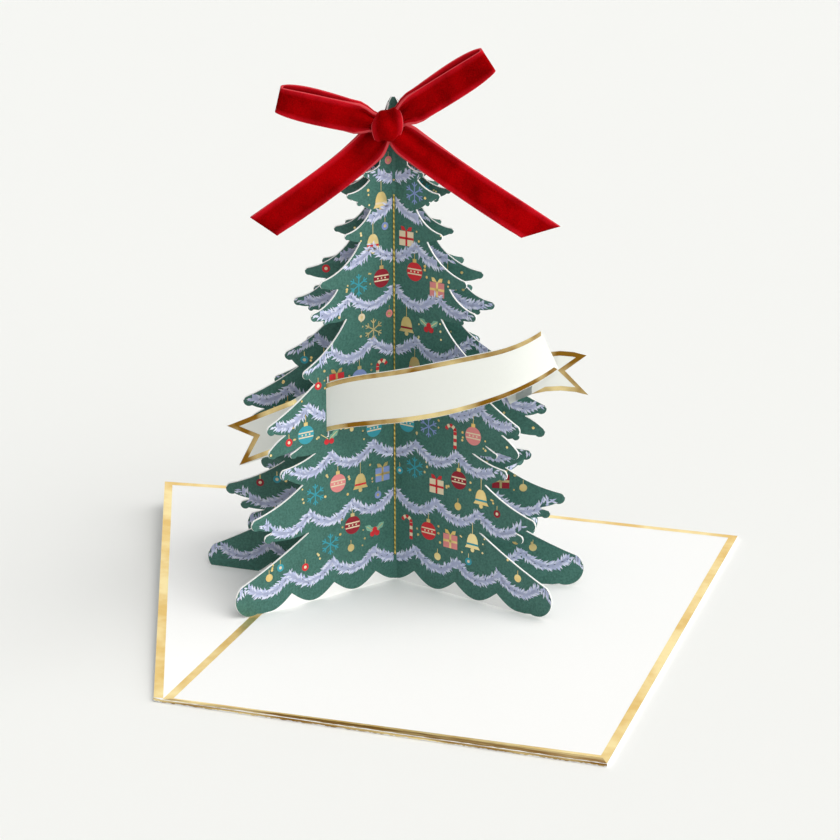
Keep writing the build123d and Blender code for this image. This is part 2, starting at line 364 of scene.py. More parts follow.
def broad_side(paper, across, pair):
    """1 where a point faces the way its own leaf of the pair faces, 0 on the cut edges."""
    normal = paper.add("ShaderNodeNewGeometry").outputs["True Normal"]
    facing = []
    for leaf in pair:
        dot = paper.add("ShaderNodeVectorMath", {"operation": "DOT_PRODUCT"})
        paper.put(dot.inputs[0], normal)
        paper.put(dot.inputs[1], leaf.front)
        facing.append(paper.maths("ABSOLUTE", dot.outputs["Value"]))
    on_right = paper.maths("GREATER_THAN", across, 0.0)
    left_share = paper.maths("MULTIPLY", paper.maths("SUBTRACT", 1.0, on_right), facing[0])
    right_share = paper.maths("MULTIPLY", on_right, facing[1])
    return paper.maths("GREATER_THAN", paper.maths("ADD", left_share, right_share), FACE_MATCH)


def hem_height(maths, across, depth):
    square = maths("ADD", maths("MULTIPLY", across, across), maths("MULTIPLY", depth, depth))
    reach = maths("SQRT", square)
    from_cusp = maths("SUBTRACT", reach, HEM_FIRST_CUSP * MM)
    swing = maths("MULTIPLY", from_cusp, pi / (HEM_PITCH * MM))
    wave = maths("SUBTRACT", 1.0, maths("ABSOLUTE", maths("SINE", swing)))
    wave = maths("MULTIPLY", wave, maths("LESS_THAN", reach, HEM_LAST * MM))
    return maths("ADD", maths("MULTIPLY", wave, HEM_RISE * MM), (BASE_CARD + HEM_LOW) * MM)


print("hem mm:", HEM_LOW, "to", HEM_LOW + HEM_RISE)

# %% Green print on white card
TREE_GREEN = srgb(73, 125, 113)
TREE_GREEN_DEEP = srgb(45, 88, 78)
# the banner's card is painted a little darker than the base's white card, as painted shade on the upright
# band
BANNER_SHADED_WHITE = srgb(241, 243, 237)
BANNER_MOTTLE = 0.03


def tree_print(sheet):
    paper = Nodes(sheet + "_print")
    place = paper.add("ShaderNodeTexCoord").outputs["Object"]
    across, depth, height = paper.add("ShaderNodeSeparateXYZ", Vector=place).outputs
    broad = broad_side(paper, across, [leaf for leaf in leaves if leaf.sheet == sheet])
    above_hem = paper.maths("GREATER_THAN", height, hem_height(paper.maths, across, depth))
    printed = paper.maths("MULTIPLY", broad, above_hem)
    grain = paper.stretched(paper.noise(scale=1300), low=0.36, high=0.64)
    tone = paper.blend(paper.noise(scale=140), grain, share=0.55)
    colour = paper.mix(printed, CARD_WHITE, paper.mix(tone, TREE_GREEN_DEEP, TREE_GREEN))
    paper.surface(Base_Color=colour, Roughness=0.55, Specular_IOR_Level=0.35)
    paper_tooth(paper)
    return paper.material


def dress(node, material):
    data = nodes[node].data
    if not data.materials:
        data.materials.append(material)
    for slot in nodes[node].material_slots:
        slot.material = material


for sheet in SHEETS:
    dress(sheet, tree_print(sheet))
banner_card = paper_finish("banner_card", BANNER_SHADED_WHITE, BANNER_MOTTLE)
for node, finish in (("card_base", white_card), ("banner_band", banner_card), ("banner_tail", banner_card)):
    dress(node, finish)
print("dressed the sheets and the white card")

# %% [markdown]
# The ornaments are ink and foil on the leaves. An image would blur close up and needs a file, so every
# mark is a small flat polygon laid a few hundredths of a millimetre above the card, as thick as real
# ink. A ray test against the sheet tells whether a mark lies on the card, so nothing hangs past a
# branch.

# %% Inks
INK_MOTTLE = 0.07
INK_COLOURS = {
    "tinsel": (197, 205, 237),
    "tinsel_light": (226, 231, 252),
    "tinsel_dark": (62, 88, 112),
    "cream": (238, 220, 186),
    "pink": (232, 142, 140),
    "coral": (212, 46, 54),
    "wine": (150, 30, 46),
    "teal": (60, 160, 176),
    "blue": (136, 156, 208),
    "sage": (132, 186, 160),
}
inks = {name: paper_finish(name + "_ink", srgb(*tone), INK_MOTTLE) for name, tone in INK_COLOURS.items()}
inks["gold"] = gold_ink
# white card, used for the painted highlights along the upper cut edges of the leaves
inks["bare"] = white_card
ink_names = list(inks)
print("inks:", ink_names)

# %% A pad that collects flat marks
INK_LIFT = 0.04
INK_STEP = 0.015
TEST_LIFT = 0.6
UP = Vector((0, 0, 1))


def piece_tree(piece):
    """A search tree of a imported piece, for ray tests."""
    mesh = piece.data
    return BVHTree.FromPolygons([v.co for v in mesh.vertices], [tuple(p.vertices) for p in mesh.polygons])


sheet_trees = {sheet: piece_tree(nodes[sheet]) for sheet in SHEETS}


class InkPad:
    """Marks for one face of one leaf, in millimetres of reach and height."""

    def __init__(self, leaf, face):
        self.leaf = leaf
        self.face = face
        self.points = []
        self.faces = []
        self.colours = []
        self.taken = []
        self.outward = leaf.front * face
        self.flip = leaf.along.cross(UP).dot(self.outward) < 0

    def on_card(self, reach, height):
        if height < HEM_LOW + HEM_RISE:
            return False
        start = self.leaf.place(self.face, reach, height, TEST_LIFT)
        hit = sheet_trees[self.leaf.sheet].ray_cast(start, -self.outward, 2 * TEST_LIFT * MM)
        return hit[0] is not None

    def mark(self, colour, outline, level=0):
        """Adds a flat polygon if all of it lies on the card."""
        if not all(self.on_card(reach, height) for reach, height in outline):
            return
        first = len(self.points)
        lift = INK_LIFT + INK_STEP * level
        self.points += [self.leaf.place(self.face, reach, height, lift) for reach, height in outline]
        loop = list(range(first, first + len(outline)))
        turn = sum(a[0] * b[1] - b[0] * a[1] for a, b in zip(outline, outline[1:] + outline[:1]))
        if (turn < 0) != self.flip:
            loop.reverse()
        self.faces.append(loop)
        self.colours.append(ink_names.index(colour))


print("sheets to test against:", len(sheet_trees))

# %% [markdown]
# Tinsel is drawn as a printer's illustrator would: a soft band in swags, then short strokes that stick
# out on both sides, then a few dark flecks for depth. Each stroke is a thin diamond. The swags fall a
# little towards the branch tips, as a garland does on a real tree.

# %% Swags and strokes
GARLAND_ROWS = [14.0, 34.5, 54.5, 74.0, 93.0, 110.5, 127.0, 142.0, 155.0]
SWAG_SAG = 5.0
GARLAND_FALL = 0.03
STROKE_BELLY = 0.45


def garland_height(row, reach):
    """Swags as wide as the hem's lobes; every second row peaks on the spine instead."""
    first_peak = HEM_FIRST_CUSP if row % 2 == 0 else 0.0
    share = ((reach - first_peak) % HEM_PITCH) / HEM_PITCH
    return GARLAND_ROWS[row] - GARLAND_FALL * reach - SWAG_SAG * (1 - (2 * share - 1) ** 2)


def diamond(reach, height, heading, length, width):
    """A thin stroke that starts at a point and runs along a heading in radians."""
    ahead = (cos(heading), sin(heading))
    beside = (-ahead[1] * width / 2, ahead[0] * width / 2)
    middle = (reach + ahead[0] * length * STROKE_BELLY, height + ahead[1] * length * STROKE_BELLY)
    return [
        (reach, height),
        (middle[0] - beside[0], middle[1] - beside[1]),
        (reach + ahead[0] * length, height + ahead[1] * length),
        (middle[0] + beside[0], middle[1] + beside[1]),
    ]


print("garland rows:", len(GARLAND_ROWS))

# %% Tinsel garlands
TINSEL_HALF = 1.4
TINSEL_UNEVEN = (0.8, 1.15)
BAND_OVERLAP = 1.6
SLOPE_STEP = 0.2
STROKE_PITCH = 0.5
STROKE_LEAN = (22, 75)
STROKE_ROOT = (0.1, 0.8)
STROKE_LENGTH = (1.6, 2.6)
LIGHT_STROKES = 0.55
FLECK_EVERY = 5
FLECK_LEAN = (-55, 55)
FLECK_LENGTH = (0.9, 1.5)


def draw_garland(pad, row, chance):
    reach = 0.0
    count = 0
    while reach < TREE_REACH:
        height = garland_height(row, reach)
        slope = atan2(garland_height(row, reach + SLOPE_STEP) - height, SLOPE_STEP)
        ahead = reach + STROKE_PITCH * BAND_OVERLAP
        ahead_height = garland_height(row, ahead)
        half = TINSEL_HALF * chance.uniform(*TINSEL_UNEVEN)
        band = [(reach, height - half), (ahead, ahead_height - half),
                (ahead, ahead_height + half), (reach, height + half)]
        pad.mark("tinsel", band)
        for direction in (-1, 1):
            lean = slope + direction * radians(chance.uniform(*STROKE_LEAN))
            tone = "tinsel_light" if chance.random() < LIGHT_STROKES else "tinsel"
            root = height + direction * chance.uniform(*STROKE_ROOT)
            stroke = diamond(reach, root, lean, chance.uniform(*STROKE_LENGTH), width=0.7)
            pad.mark(tone, stroke, level=1 + count % 2)
        if count % FLECK_EVERY == 0:
            lean = slope + radians(chance.uniform(*FLECK_LEAN))
            start = height + chance.uniform(-TINSEL_HALF, TINSEL_HALF)
            fleck = diamond(reach, start, lean, chance.uniform(*FLECK_LENGTH), width=0.34)
            pad.mark("tinsel_dark", fleck, level=3)
        reach += STROKE_PITCH
        count += 1


print("tinsel width mm:", 2 * TINSEL_HALF)

# %% [markdown]
# Between the garlands hang plain traditional ornaments: round baubles, bells, parcels, canes, holly
# and snow crystals. Each is a short function that lays a few polygons round its own middle, so one
# rule can spread them over every leaf. Discs and straight bars are enough for most of their parts.

# %% Outlines and stamps
ORNAMENT_SCALE = 1.42
THREAD_WIDTH = 0.22


def disc(x, z, radius, corners):
    turns = [2 * pi * k / corners for k in range(corners)]
    return [(x + radius * cos(t), z + radius * sin(t)) for t in turns]


def bar(start, end, width):
    side = Vector((end[0] - start[0], end[1] - start[1])).normalized() * width / 2
    return [(start[0] - side.y, start[1] + side.x), (end[0] - side.y, end[1] + side.x),
            (end[0] + side.y, end[1] - side.x), (start[0] + side.y, start[1] - side.x)]


def turned(outline, degrees):
    turn = radians(degrees)
    return [(x * cos(turn) - z * sin(turn), x * sin(turn) + z * cos(turn)) for x, z in outline]


def mirrored(half):
    """A whole outline from its right half, listed from the bottom up."""
    return half + [(-x, z) for x, z in reversed(half)]


def stamp(pad, row, reach, height):
    """Two functions for an ornament at a place: one marks round its middle, one hangs it by a thread."""

    def mark(colour, outline, level=0):
        spots = [(reach + x * ORNAMENT_SCALE, height + z * ORNAMENT_SCALE) for x, z in outline]
        pad.mark(colour, spots, level)

    def hang(top):
        high = garland_height(row, reach) - TINSEL_HALF
        pad.mark("gold", bar((reach, height + top * ORNAMENT_SCALE), (reach, high), THREAD_WIDTH))

    return mark, hang


print("ornament scale:", ORNAMENT_SCALE)

# %% Baubles, bells and parcels


def bauble(mark, hang, colour):
    radius = 2.4
    cap = 0.8
    stripe = "cream" if colour != "cream" else "pink"
    mark(colour, disc(0, 0, radius, 24))
    for level in (-0.6, 0.6):
        half = sqrt(radius**2 - (abs(level) + 0.2) ** 2) * 0.95
        mark(stripe, bar((-half, level), (half, level), 0.34), 1)
    for x in (-1.1, 0, 1.1):
        mark(stripe, disc(x, 0, 0.24, 8), 1)
    mark("gold", bar((0, radius - 0.1), (0, radius + cap), 1.15), 1)
    hang(radius + cap)


def bell(mark, hang, colour):
    top = 2.0
    mark("gold", mirrored([(2.3, -1.9), (1.8, -1.1), (1.6, 0.4), (1.2, 1.4), (0.6, top)]))
    mark(colour, bar((-1.75, -0.8), (1.75, -0.8), 0.5), 1)
    mark("gold", disc(0, -2.3, 0.6, 10))
    hang(top)


def parcel(mark, hang, colour):
    half, low, high = 2.2, -2.1, 1.6
    tie_width = 0.6
    tie = "gold" if colour != "cream" else "coral"
    mark(colour, mirrored([(half, low), (half, high)]))
    mark(tie, bar((0, low), (0, high), tie_width), 1)
    mark(tie, bar((-half, -0.2), (half, -0.2), tie_width), 1)
    for side in (-1, 1):
        loop = [(0, high), (1.5, 1.8), (1.7, 2.8), (0.8, 2.7)]
        mark(tie, [(side * x, z) for x, z in loop], 1)


print("shapes:", [shape.__name__ for shape in (bauble, bell, parcel)])

# %% Canes, holly and snow crystals


def cane(mark, hang, colour):
    radius = 1.35
    route = [(radius, -3.2 + 0.9 * k) for k in range(6)]
    route += [(radius * cos(t), 1.4 + radius * sin(t)) for t in (0.0, 0.6, 1.2, 1.8, 2.4, 3.0)]
    for index, (start, end) in enumerate(zip(route, route[1:])):
        mark("cream" if index % 2 else "coral", bar(start, end, 0.95), index % 2)


def holly(mark, hang, colour):
    edge = [(0, 0), (1.0, 0.75), (1.6, 0.55), (2.3, 0.85), (2.9, 0.5), (3.6, 0)]
    leaf_shape = edge + [(x, -z) for x, z in reversed(edge[1:-1])]
    for lean in (35, 145):
        mark("sage", turned(leaf_shape, lean))
        mark("gold", turned(bar((0.4, 0), (3.0, 0), 0.18), lean), 1)
    for x, z in ((-0.75, -0.5), (0.75, -0.5), (0, 0.55)):
        mark("coral", disc(x, z, 0.75, 12), 2)


def crystal(mark, hang, colour):
    tone = "gold" if colour in ("coral", "pink", "wine", "cream") else colour
    for k in range(6):
        lean = 30 + 60 * k
        mark(tone, turned(bar((0, 0), (2.8, 0), 0.32), lean), k % 2)
        for fork in (-0.75, 0.75):
            mark(tone, turned(bar((1.6, 0), (2.4, fork), 0.28), lean), 2)


ORNAMENTS = [bauble, crystal, parcel, bauble, bell, holly, bauble, crystal, cane, bauble, parcel, bell]
print("ornaments:", sorted({shape.__name__ for shape in ORNAMENTS}))

# %% [markdown]
# Ornaments hang in a row below each garland, and the list of shapes runs out of step with the tones. One
# that would cross a branch's edge is left out whole. Specks and small beads fill what is still bare.

# %% Rows of ornaments
ORNAMENT_TONES = ["coral", "teal", "cream", "pink", "blue", "wine", "teal"]
ORNAMENT_PITCH = 9.8
ORNAMENT_DROP = 8.8
ORNAMENT_ROOM = 3.7
ORNAMENT_STARTS = (4.9, 8.5)
ROW_SKIP, LEAF_SKIP, TONE_SKIP = 5, 3, 3
SPECKS_EACH = 3
SPECK_AHEAD = (4.4, 5.6)
SPECK_UP = (-4.5, 4.5)
SPECK_SIZE = (0.3, 0.55)


def fits(pad, reach, height, room, corners):
    return all(pad.on_card(reach + x, height + z) for x, z in disc(0, 0, room, corners))


def draw_ornaments(pad, row, leaf_index, chance):
    reach = ORNAMENT_STARTS[(row + leaf_index) % 2]
    count = row * ROW_SKIP + leaf_index * LEAF_SKIP
    while reach < TREE_REACH:
        height = garland_height(row, reach) - ORNAMENT_DROP
        tone = ORNAMENT_TONES[(count * TONE_SKIP + row) % len(ORNAMENT_TONES)]
        if fits(pad, reach, height, ORNAMENT_ROOM, corners=10):
            ORNAMENTS[count % len(ORNAMENTS)](*stamp(pad, row, reach, height), tone)
            pad.taken.append((reach, height))
        for _ in range(SPECKS_EACH):
            spot = (reach + chance.uniform(*SPECK_AHEAD), height + chance.uniform(*SPECK_UP))
            pad.mark("gold", disc(*spot, chance.uniform(*SPECK_SIZE), 10))
        reach += ORNAMENT_PITCH
        count += 1


print("ornaments every mm:", ORNAMENT_PITCH)

# %% Small beads
BEAD_TRIES = 260
BEAD_ROOM = 2.3
BEAD_APART = (6.9, 5.2)
BEAD_CLEAR = 4.6
BEAD_RADIUS = 1.45
BEAD_CORE = 0.6
BEAD_THREAD = (1.3, 3.0)
BEAD_TONES = ORNAMENT_TONES + ["gold", "gold", "gold"]


def draw_beads(pad, chance):
    """Small beads wherever a leaf is still bare, well clear of garlands and ornaments."""
    taken = [(place, BEAD_APART[0]) for place in pad.taken]
    for _ in range(BEAD_TRIES):
        spot = (chance.uniform(0, TREE_REACH), chance.uniform(0, TREE_HEIGHT))
        x, z = spot
        swags = [garland_height(row, x) for row in range(len(GARLAND_ROWS))]
        if any(abs(z - swag) < BEAD_CLEAR for swag in swags):
            continue
        if any(dist(spot, place) < apart for place, apart in taken):
            continue
        if not fits(pad, x, z, BEAD_ROOM, corners=8):
            continue
        taken.append((spot, BEAD_APART[1]))
        tone = chance.choice(BEAD_TONES)
        core = "cream" if tone in ("coral", "wine", "teal") else "gold"
        pad.mark(tone, disc(x, z, BEAD_RADIUS, 16))
        pad.mark(core, disc(x, z, BEAD_CORE, 10), 1)
        thread_low, thread_high = [(x, z + up) for up in BEAD_THREAD]
        pad.mark("gold", bar(thread_low, thread_high, THREAD_WIDTH))


print("bead radius mm:", BEAD_RADIUS)

# %% [markdown]
# On the upper edge of each branch the light falls on the white cut edge, and it shows as a fine pale line.
# That line is a painted highlight: a narrow white quad laid inside each edge that faces up. The outline is
# already in the imported mesh: it is each edge between a broad side and a cut side.

# %% Painted highlights along the upper cut edges
MARGIN = 0.25
MARGIN_LIFT = 0.02
MARGIN_FROM_SPINE = 2.0
MARGIN_FROM_TABLE = 7.0
LIT_EDGE_FACES_UP = 0.25
MICRONS = 1e6


def outline_edges(sheet):
    """The ends of each edge between a broad side and a cut side, and the broad side's normal."""
    mesh = nodes[sheet].data
    left, right = [leaf for leaf in leaves if leaf.sheet == sheet]
    sides = {}
    for polygon in mesh.polygons:
        leaf = right if polygon.center.x > 0 else left
        broad = abs(polygon.normal.dot(leaf.front)) > FACE_MATCH
        corners = [mesh.vertices[index].co for index in polygon.vertices]
        for a, b in zip(corners, corners[1:] + corners[:1]):
            ends = tuple(sorted((end * MICRONS).to_tuple(0) for end in (a, b)))
            sides.setdefault(ends, []).append((broad, a, b, polygon.normal))
    for pair in sides.values():
        if len(pair) == 2 and pair[0][0] != pair[1][0]:
            yield (pair[0] if pair[0][0] else pair[1])[1:]


# white quads inside the outline edges that face up: a painted highlight where light falls on the cut edge
def painted_highlight_quads(sheet):
    quads = []
    for a, b, normal in outline_edges(sheet):
        from_spine = hypot(*(a + b).xy) / 2
        if from_spine < MARGIN_FROM_SPINE * MM or (a.z + b.z) / 2 < MARGIN_FROM_TABLE * MM:
            continue
        inwards = normal.cross(b - a).normalized()
        if -inwards.z < LIT_EDGE_FACES_UP:
            continue
        inwards *= MARGIN * MM
        lift = normal * MARGIN_LIFT * MM
        quads.append([a + lift, b + lift, b + inwards + lift, a + inwards + lift])
    return quads


painted_highlights = {sheet: painted_highlight_quads(sheet) for sheet in SHEETS}
print("margin quads:", [len(quads) for quads in painted_highlights.values()])

# %% [markdown]
# Now every leaf is printed on both faces, from the foot up. A fixed seed for each face keeps the tinsel
# uneven but the same on every run. All the marks of one sheet become one mesh.

# %% Print every leaf, front and back
SEED_STEP = 100

for sheet in SHEETS:
    points, faces, colours = [], [], []
    # the painted highlights on the upper cut edges come first, in the white card's colour
    for quad in painted_highlights[sheet]:
        faces.append(list(range(len(points), len(points) + 4)))
        points += quad
        colours.append(ink_names.index("bare"))
    for index, leaf in enumerate(leaves):
        if leaf.sheet != sheet:
            continue
        for face in (1, -1):
            chance = random.Random(SEED_STEP * index + face)
            pad = InkPad(leaf, face)
            for row in range(len(GARLAND_ROWS)):
                draw_garland(pad, row, chance)
                if row > 0:
                    draw_ornaments(pad, row, index + (face < 0), chance)
            draw_beads(pad, chance)
            faces += [[len(points) + corner for corner in loop] for loop in pad.faces]
            points += pad.points
            colours += pad.colours
    ink = make_object(sheet.replace("sheet", "print"), points, faces, list(inks.values()), colours)
    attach(ink, "root")
    print(ink.name, "marks:", len(faces))

# %% [markdown]
# The gold borders are foil strips along the edges of the base and the banner. Both lie flat on card
# that may slope, so each strip is drawn in plan or in front view and every corner is dropped onto the
# card by a ray. That way a strip follows the raised wing and the curved banner without any fitting.

# %% Foil strips that follow the card
FOIL_LIFT = 0.04 * MM
RAY_START = 0.5


def dropper(piece, direction):
    """A function that drops a point along a direction onto a piece, and lifts it a hair."""
    tree = piece_tree(piece)
    way = Vector(direction)

    def drop(point):
        start = Vector(point) - way * RAY_START
        hit, normal, _, _ = tree.ray_cast(start, way)
        if hit is None:
            hit, normal, _, _ = tree.find_nearest(Vector(point))
        if normal.dot(way) > 0:
            normal = -normal
        return hit + normal * FOIL_LIFT

    return drop


def foil_strip(name, outer, inner, drop, material, wanted):
    """A strip of quads between two rows of points, dropped onto the card and facing a wanted way."""
    points = [drop(p) for p in outer] + [drop(p) for p in inner]
    count = len(outer)
    faces = []
    for k in range(count - 1):
        quad = [k, k + 1, count + k + 1, count + k]
        normal = (points[quad[1]] - points[quad[0]]).cross(points[quad[3]] - points[quad[0]])
        if normal.dot(wanted) < 0:
            quad.reverse()
        faces.append(quad)
    strip = make_object(name, points, faces, [material])
    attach(strip, "root")


def between(start, end, steps):
    return [start.lerp(end, k / steps) for k in range(steps + 1)]


print("foil lies over the card by mm:", FOIL_LIFT / MM)

# %% [markdown]
# The floor leaf stands turned about the tree's spine, so its plan is drawn from its near left corner with
# two directions of its own. Three borders are plain strips between two rings of corners.

# %% Borders of the floor leaf
FLOOR_WIDTH = 148.0
FLOOR_DEPTH = 210.0
SPINE_FROM_FOLD = 36.5
SPINE_FROM_NEAR = 125.75
BORDER = 3.2
NEAR_BORDER = (2.2, 5.2)
EDGE_MARGIN = 0.12
BORDER_STEPS = 30

across = Vector((cos(FLOOR_TURN), -sin(FLOOR_TURN), 0))
along = Vector((sin(FLOOR_TURN), cos(FLOOR_TURN), 0))
near_left = -(across * SPINE_FROM_FOLD + along * SPINE_FROM_NEAR)
drop_on_base = dropper(nodes["card_base"], (0, 0, -1))


def floor_spot(x, y):
    """A plan point of the floor leaf from its near left corner, in metres."""
    return (near_left + across * x + along * y) * MM


right, far = FLOOR_WIDTH - EDGE_MARGIN, FLOOR_DEPTH - EDGE_MARGIN
inner_right, inner_far = FLOOR_WIDTH - BORDER, FLOOR_DEPTH - BORDER
outer_ring = [(EDGE_MARGIN, EDGE_MARGIN), (EDGE_MARGIN, far), (right, far), (right, EDGE_MARGIN)]
inner_ring = [(BORDER, NEAR_BORDER[0]), (BORDER, inner_far), (inner_right, inner_far),
              (inner_right, NEAR_BORDER[1])]
rings = [[floor_spot(*spot) for spot in ring] for ring in (outer_ring, inner_ring)]
for k, edge in enumerate(("fold", "far", "right")):
    outer, inner = [between(ring[k], ring[k + 1], BORDER_STEPS) for ring in rings]
    foil_strip("foil_floor_" + edge, outer, inner, drop_on_base, gold_foil, UP)
print("border width mm:", BORDER)

# %% [markdown]
# The near border widens to the right, bends over the card's edge and frays there. It is laid as two
# strips that meet in a crease, and the foil on the card's thickness is a third, whose lower side wavers.
# A fixed seed keeps the fraying the same on every run.

# %% Near edge of the base
WING_LIFT = radians(6.8)
WING_NEAR_WIDTH = 3.0
FRAY = 0.5
FRAY_SEED = 7
CREASE_SHARE = 0.66
GILT_LIFT = 0.03
GILT_DEPTH = (0.6, 0.92)
NEAR_STEPS = 90
GILT_STEPS = 240
WING_GILT_STEPS = 8
fray_chance = random.Random(FRAY_SEED)


def wing_spot(y, out):
    """A plan point of the wing, from the fold outwards."""
    return (near_left + along * y - across * out * cos(WING_LIFT)) * MM


def gild(name, row):
    """Foil on the card's thickness below a row of points, with a wavering lower side."""
    low = [p - UP * fray_chance.uniform(*GILT_DEPTH) * MM for p in row]
    foil_strip(name, row, low, Vector, edge_foil, -along)


outer, inner = [between(ring[3], ring[0], NEAR_STEPS) for ring in rings]
outer = [p + along * fray_chance.uniform(0.0, FRAY) * MM for p in outer]
crease = [o.lerp(i, CREASE_SHARE) for o, i in zip(outer, inner)]
foil_strip("foil_floor_near", crease, inner, drop_on_base, gold_foil, UP)
foil_strip("foil_floor_bend", outer, crease, drop_on_base, edge_foil, UP)
floor_places = [FLOOR_WIDTH * k / GILT_STEPS for k in range(GILT_STEPS + 1)]
gild("foil_near_side", [floor_spot(x, -GILT_LIFT) + UP * (BASE_CARD - GILT_LIFT) * MM for x in floor_places])
wing_row = []
for k in range(WING_GILT_STEPS + 1):
    out = WING_NEAR_WIDTH * k / WING_GILT_STEPS
    wing_row.append(wing_spot(-GILT_LIFT, out) + UP * (BASE_CARD + out * sin(WING_LIFT)) * MM)
gild("foil_wing_side", wing_row)
print("near border mm:", NEAR_BORDER)

# %% [markdown]
# The wing is the other leaf of the base, folded up a little. Its plan is measured along the fold and
# outwards from it, and the borders of its two free edges meet in a mitre at the outer corner.

# %% Borders of the wing
WING_EDGE_SHARE = 0.911

wing_edge = WING_EDGE_SHARE * FLOOR_DEPTH
near_tip = Vector((0.0, WING_NEAR_WIDTH))
outer_tip = Vector((wing_edge * WING_EDGE_SHARE, wing_edge * sqrt(1 - WING_EDGE_SHARE**2)))
far_tip = Vector((FLOOR_DEPTH, 0.0))
side_run = (outer_tip - near_tip).normalized()
side_in = Vector((side_run.y, -side_run.x))
far_run = (far_tip - outer_tip).normalized()
far_in = Vector((far_run.y, -far_run.x))


def border_corner(inset):
    return outer_tip + (far_run - side_run).normalized() * inset * sqrt(2)


outer_corner, inner_corner = border_corner(EDGE_MARGIN), border_corner(BORDER)
near_start = near_tip + side_run * EDGE_MARGIN + side_in * EDGE_MARGIN
far_end = far_tip + far_in * EDGE_MARGIN - far_run * EDGE_MARGIN
wing_strips = {
    "left": (near_start, outer_corner, near_tip + side_in * BORDER, inner_corner),
    "far": (outer_corner, far_end, inner_corner, far_tip + far_in * BORDER),
}
for edge, spots in wing_strips.items():
    a, b, c, d = [wing_spot(*spot) for spot in spots]
    outer, inner = between(a, b, BORDER_STEPS), between(c, d, BORDER_STEPS)
    foil_strip("foil_wing_" + edge, outer, inner, drop_on_base, gold_foil, UP)
print("wing edge mm:", round(wing_edge, 1))

# %% [markdown]
# The banner's right tail is a strip of card of its own: a land glued to the middle sheet, a fold forward
# and a fold to the right, where its forked end shows past the band. A flat panel for each stretch, drawn
# in front view and set back in plan, keeps the folds crisp, and a modifier gives them thickness. Places
# are shares of the tree's reach and height.

# %% Outline of the right tail
LAND_SHARES = [(0.576, 0.419), (0.576, 0.402), (0.596, 0.385)]
FOLD_SHARES = (0.449, 0.393)
FORK_TOP_SHARES = [(0.700, 0.505), (0.838, 0.5245), (0.977, 0.504)]
FORK_NOTCH_SHARES = (0.867, 0.473)
FORK_LOW_SHARES = [(0.991, 0.421), (0.845, 0.4405), (0.700, 0.426)]
FORK_STEPS = 4


def bowed(start, pull, end):
    """Points of a curved edge between two ends, drawn towards a third point."""
    points = []
    for k in range(FORK_STEPS + 1):
        t = k / FORK_STEPS
        near, middle, far_end = (1 - t) ** 2, 2 * t * (1 - t), t * t
        points.append(tuple(near * s + middle * p + far_end * e for s, p, e in zip(start, pull, end)))
    return points


def front_spot(reach_share, height_share):
    """A front-view point from shares of the tree's reach and height, in metres."""
    return Vector((reach_share * TREE_REACH, 0, BASE_CARD + height_share * TREE_HEIGHT)) * MM


def set_back(spot, start, end):
    """Moves a front-view point back onto the upright plane over a line in plan."""
    share = (spot.x - start.x) / (end.x - start.x)
    return Vector((spot.x, start.y + (end.y - start.y) * share, spot.z))


fork_outline = bowed(*FORK_TOP_SHARES) + [FORK_NOTCH_SHARES] + bowed(*FORK_LOW_SHARES)
print("fork corners:", len(fork_outline))

# %% Right tail of the banner
BANNER_CARD = 0.4
GLUE_GAP = 0.05
TAIL_LAND_SHARES = (0.56, 0.62)
TAIL_BEND_SHARES = (0.70, -0.2458)
TAIL_END_SHARES = (1.02, -0.2216)


def thickened(piece, thickness):
    """Gives a sheet its thickness, half to each side, and applies it."""
    thick = piece.modifiers.new("thickness", "SOLIDIFY")
    thick.thickness = thickness * MM
    thick.offset = 0.0
    depsgraph = bpy.context.evaluated_depsgraph_get()
    solid = bpy.data.meshes.new_from_object(piece.evaluated_get(depsgraph))
    piece.modifiers.clear()
    piece.data = solid


middle_leaf = next(leaf for leaf in leaves if leaf.sheet == "tree_middle_sheet" and leaf.side > 0)
land_lift = GLUE_GAP + BANNER_CARD / 2
land, fold = [middle_leaf.place(1, share * TREE_REACH, 0, land_lift) for share in TAIL_LAND_SHARES]
bend, tail_end = [Vector((*shares, 0)) * TREE_REACH * MM for shares in (TAIL_BEND_SHARES, TAIL_END_SHARES)]
fold_high, fold_low = [Vector((fold.x, fold.y, front_spot(0, share).z)) for share in FOLD_SHARES]
land_panel = [fold_high] + [set_back(front_spot(*pair), land, fold) for pair in LAND_SHARES] + [fold_low]
fork_panel = [set_back(front_spot(*pair), bend, tail_end) for pair in fork_outline]
tail_points = land_panel + fork_panel
last_land = len(land_panel) - 1
last_fork = len(tail_points) - 1
tail_faces = [
    list(range(last_land + 1)),
    [0, last_land, last_fork, last_land + 1],
    list(range(last_fork, last_land, -1)),
]
fork = make_object("banner_right_tail", tail_points, tail_faces, [banner_card])
thickened(fork, BANNER_CARD)
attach(fork, "root")
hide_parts("banner_tail")
print("right tail faces:", len(fork.data.polygons))

# %% [markdown]
# The banner's two long edges carry narrow foil lines, and its swallow tails are outlined. The band is
# curved in plan but stands upright, so a line of constant width in front view stays on it. Each long
# edge starts from a few listed places, and two rays find where the card really ends.

# %% Foil lines on the banner
BANNER_LINE = 1.65
BANNER_MARGIN = 0.15
PROBE = 1.2
BAND_STEPS = 60
BAND_LINES = {
    "top": (-1, [(-0.345, 0.450), (0.004, 0.491), (0.351, 0.522), (0.548, 0.538), (0.735, 0.565)]),
    "low": (1, [(-0.345, 0.348), (0.004, 0.383), (0.353, 0.413), (0.538, 0.435), (0.825, 0.478)]),
}
TOWARDS_FRONT = Vector((0, -1, 0))
band_tree = piece_tree(nodes["banner_band"])
drop_on_band = dropper(nodes["banner_band"], -TOWARDS_FRONT)


def line_height(places, share):
    """Height share of an edge, straight between a few listed places."""
    for (x0, z0), (x1, z1) in zip(places, places[1:]):
        if share <= x1:
            return z0 + (z1 - z0) * (share - x0) / (x1 - x0)
    return places[-1][1]


